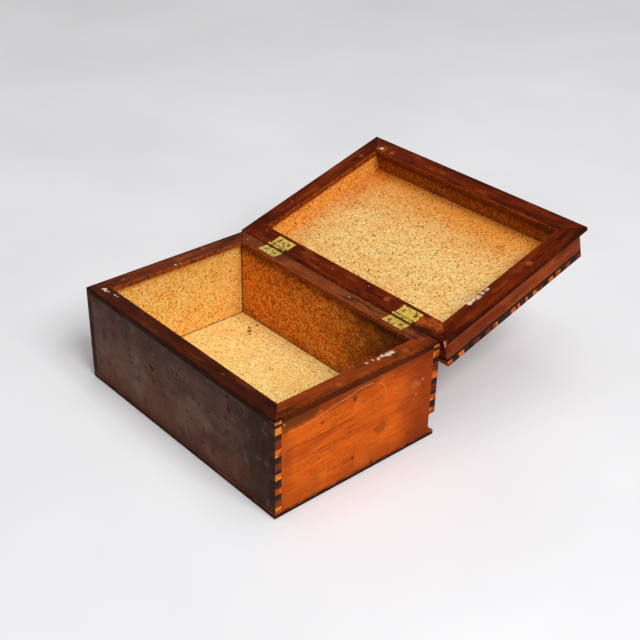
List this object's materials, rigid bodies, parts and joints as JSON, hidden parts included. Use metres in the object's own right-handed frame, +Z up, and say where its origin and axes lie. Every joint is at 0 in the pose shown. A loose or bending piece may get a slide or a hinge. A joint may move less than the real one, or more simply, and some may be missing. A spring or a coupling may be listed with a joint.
{
  "type": "cigar humidor",
  "caption": "Cork-lined mahogany humidor box with block-inlaid corners and a shallow lid thrown open on two brass butt hinges.",
  "frame": {"origin": "centre of the flat underside", "axes": "+X along the front to the right, +Y from the front towards the hinges, +Z up"},
  "size_m": [0.2904, 0.3804, 0.1543],
  "materials": {
    "mahogany": "old shellac polish, worn, satin",
    "mahogany_rim": "dark shellac polish, nicked edges",
    "light_wood": "polished satinwood",
    "dark_wood": "polished blackened wood",
    "red_wood": "polished reddish wood",
    "cork": "matt granular cork",
    "brass": "tarnished, brushed by wear"
  },
  "bodies": {
    "base": {"bottom_plate": "mahogany", "floor_board": "mahogany", "front_board": "mahogany", "back_board": "mahogany", "left_board": "mahogany", "right_board": "mahogany", "rim_front": "mahogany_rim", "rim_back": "mahogany_rim", "rim_left": "mahogany_rim", "rim_right": "mahogany_rim", "cork_floor": "cork", "cork_front": "cork", "cork_back": "cork", "cork_left": "cork", "cork_right": "cork", "corner_inlay_light": "light_wood", "corner_inlay_dark": "dark_wood", "corner_inlay_red": "red_wood", "hinge_left_base_leaf": "brass", "hinge_left_pin": "brass", "hinge_left_base_screws": "brass", "hinge_right_base_leaf": "brass", "hinge_right_pin": "brass", "hinge_right_base_screws": "brass"},
    "lid": {"lid_panel": "mahogany", "lid_front_board": "mahogany", "lid_back_board": "mahogany", "lid_left_board": "mahogany", "lid_right_board": "mahogany", "lid_strip_front": "mahogany_rim", "lid_strip_back": "mahogany_rim", "lid_strip_left": "mahogany_rim", "lid_strip_right": "mahogany_rim", "lid_cork_ceiling": "cork", "lid_cork_front": "cork", "lid_cork_back": "cork", "lid_cork_left": "cork", "lid_cork_right": "cork", "lid_inlay_light": "light_wood", "lid_inlay_dark": "dark_wood", "lid_inlay_red": "red_wood", "lid_inlay_line": "dark_wood", "hinge_left_lid_leaf": "brass", "hinge_left_lid_screws": "brass", "hinge_right_lid_leaf": "brass", "hinge_right_lid_screws": "brass"}
  },
  "joints": [
    {"name": "lid_hinge", "type": "hinge", "parent": "base", "child": "lid", "pos_m": [0, 0.0957, 0.1001], "axis": [-1, 0, 0], "range_deg": [-163.8, 0]}
  ]
}
